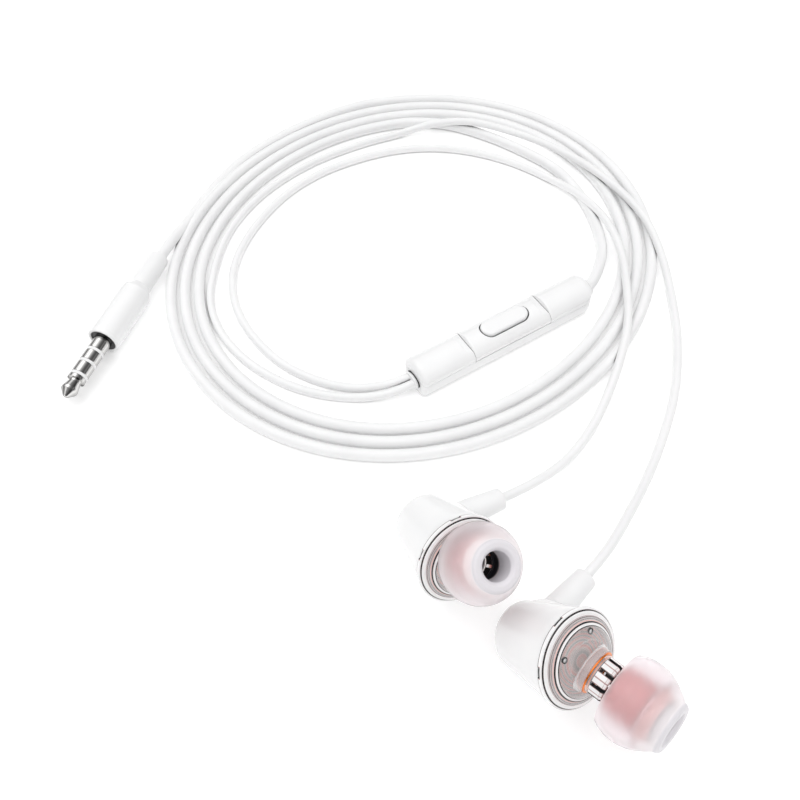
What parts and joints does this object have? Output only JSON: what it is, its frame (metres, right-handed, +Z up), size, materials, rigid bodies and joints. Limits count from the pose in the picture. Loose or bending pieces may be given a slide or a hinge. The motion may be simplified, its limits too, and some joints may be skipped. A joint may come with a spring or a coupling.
{
  "type": "wired earphones",
  "caption": "Wired in-ear earphones: angled ear pieces with silicone tips, in-line remote with rocking volume key and button, 3.5 mm four-pole plug, coiled cord.",
  "frame": {"origin": "on the surface below the centre of the pair of ear pieces, without the cord, the remote and the plug", "axes": "+Z up from the surface, +Y from the ear pieces towards the coil, +X to the right with the plug on the left"},
  "size_m": [0.1201, 0.1585, 0.0228],
  "materials": {
    "white_gloss": "glossy moulded, faint flow marks",
    "white_soft": "satin elastomer",
    "clear_shell": "clear gloss moulding",
    "silicone": "translucent smooth silicone",
    "pink_core": "translucent coloured core",
    "dark_plastic": "matte",
    "steel": "satin",
    "nickel": "polished nickel",
    "copper": "bare copper",
    "film": "thin clear film",
    "board": "solder mask",
    "cord": "satin elastomer jacket"
  },
  "bodies": {
    "earphones": {"left_rear_housing": "white_gloss", "left_strain_relief": "white_soft", "left_front_shell": "clear_shell", "left_seal_ring": "dark_plastic", "left_nozzle_crown": "clear_shell", "left_nozzle_ring": "copper", "left_nozzle_mesh": "steel", "left_driver_frame": "dark_plastic", "left_magnet": "steel", "left_yoke": "steel", "left_top_plate": "steel", "left_voice_coil": "copper", "left_diaphragm": "film", "left_terminal_board": "board", "left_cable_knot": "white_soft", "right_rear_housing": "white_gloss", "right_strain_relief": "white_soft", "right_front_shell": "clear_shell", "right_seal_ring": "dark_plastic", "right_nozzle_crown": "clear_shell", "right_nozzle_ring": "copper", "right_nozzle_mesh": "steel", "right_driver_frame": "dark_plastic", "right_magnet": "steel", "right_yoke": "steel", "right_top_plate": "steel", "right_voice_coil": "copper", "right_diaphragm": "film", "right_terminal_board": "board", "right_cable_knot": "white_soft", "remote_lower_shell": "white_gloss", "remote_lead_cap": "white_gloss", "remote_plug_cap": "white_gloss", "remote_switch_body": "steel", "remote_volume_switches": "steel", "remote_rocker_rests": "steel", "remote_circuit_board": "board", "remote_microphone": "steel", "remote_lead_grommet": "dark_plastic", "remote_main_grommet": "white_soft", "plug_tip_contact": "nickel", "plug_ring_contact_1": "nickel", "plug_ring_contact_2": "nickel", "plug_sleeve_contact": "nickel", "plug_insulators": "white_soft", "plug_collar": "dark_plastic", "plug_grip": "white_gloss", "plug_strain_relief": "white_soft", "cord_coil": "cord", "cord_plug_end": "cord", "cord_remote_end": "cord", "cord_lead_left": "cord", "cord_lead_right": "cord"},
    "call_button": {"remote_button": "white_gloss", "remote_switch_plunger": "dark_plastic"},
    "volume_rocker": {"remote_volume_rocker": "white_gloss"},
    "left_tip": {"left_ear_tip": "silicone", "left_tip_core": "pink_core"},
    "right_tip": {"right_ear_tip": "silicone", "right_tip_core": "pink_core"}
  },
  "joints": [
    {"name": "call_button_press", "type": "slide", "parent": "earphones", "child": "call_button", "axis": [0, 0, -1], "range_m": [0, 0.0003], "stiffness_N_per_m": 2000},
    {"name": "volume_rock", "type": "hinge", "parent": "earphones", "child": "volume_rocker", "pos_m": [0.0002, 0.0594, 0.0044], "axis": [-0.5373, 0.8434, 0], "range_deg": [-1, 1], "stiffness_Nm_per_rad": 0.3},
    {"name": "left_tip_pull", "type": "slide", "parent": "earphones", "child": "left_tip", "axis": [0.3453, -0.4635, 0.816], "range_m": [0, 0.0056]},
    {"name": "right_tip_pull", "type": "slide", "parent": "earphones", "child": "right_tip", "axis": [0.7095, -0.6851, 0.165], "range_m": [-0.003, 0.003]}
  ]
}
